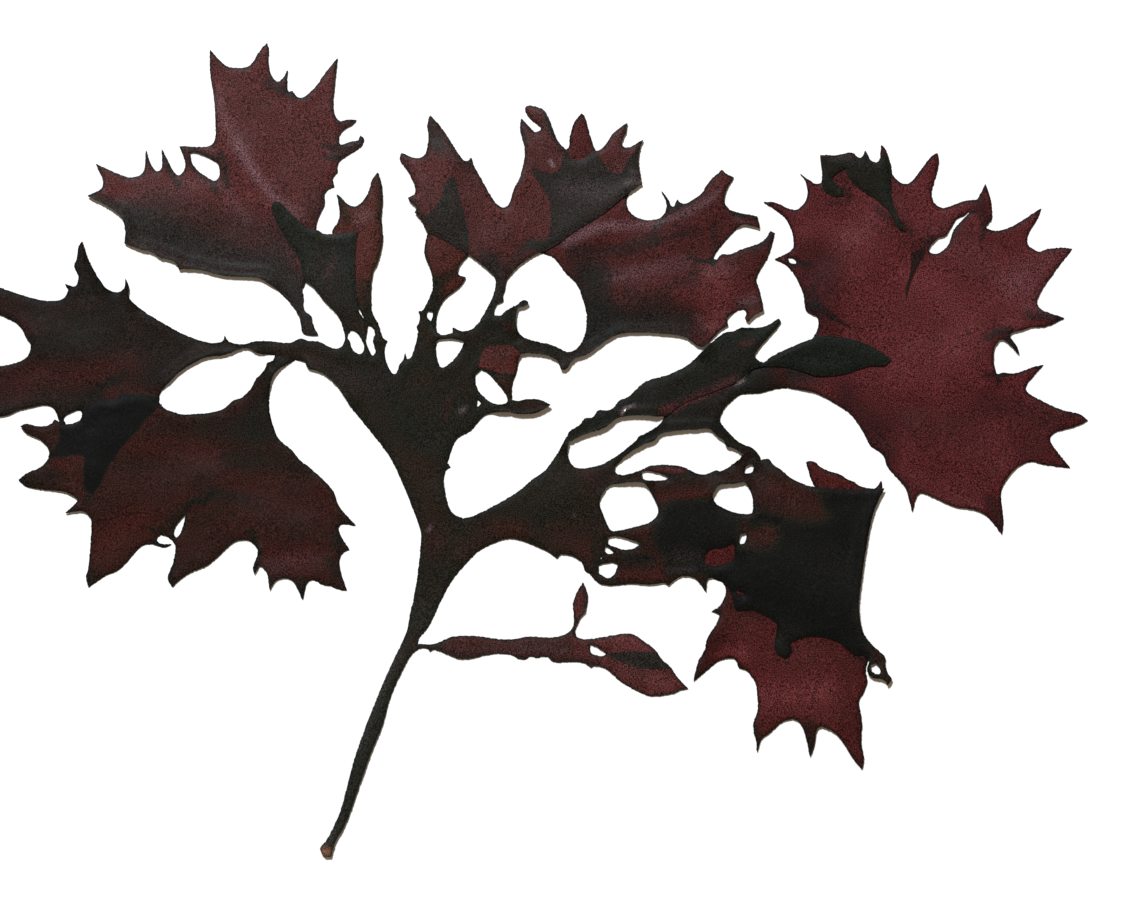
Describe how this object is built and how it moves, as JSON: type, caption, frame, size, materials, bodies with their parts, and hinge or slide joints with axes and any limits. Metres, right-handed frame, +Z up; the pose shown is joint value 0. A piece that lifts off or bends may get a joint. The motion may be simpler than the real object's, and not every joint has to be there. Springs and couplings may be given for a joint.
{
  "type": "iridescent seaweed",
  "caption": "Whole red seaweed as picked, lying flat: a narrow stipe widens into two palms that divide into broad thin toothed blades, some lying over others.",
  "frame": {"origin": "centre of the bounding box in plan, on the surface that the plant lies on", "axes": "+X across the plant's width towards the right blades, +Y from the stipe's foot towards the blades' tips, +Z up"},
  "size_m": [0.281, 0.2032, 0.0024],
  "materials": {
    "stipe": "thick wet tissue of the stalk, olive to brown black, semi-gloss",
    "palm": "dense wet tissue where branches leave, brown black, semi-gloss",
    "dark_blade": "double or dense wet blade, nearly black with an iridescent sheen",
    "red_blade": "thin wet blade, deep red, darker at its margins, soft sheen",
    "plum_blade": "thinnest wet blade, dull plum red with a soft iridescent sheen"
  },
  "bodies": {
    "root": {"stipe": "stipe", "left_palm": "palm", "right_palm": "palm", "far_left_blade": "dark_blade", "lower_left_blade": "red_blade", "upper_left_blade": "plum_blade", "slim_left_blade": "plum_blade", "slim_pointed_blade": "red_blade", "back_centre_blade": "red_blade", "top_right_blade": "dark_blade", "centre_blade": "plum_blade", "small_leaf": "red_blade", "right_stalk": "palm", "right_blade": "red_blade", "right_blade_fold": "dark_blade", "dark_blade": "dark_blade", "lower_right_back": "red_blade", "lower_right_front": "dark_blade", "lateral_bladelet": "red_blade"}
  },
  "joints": []
}
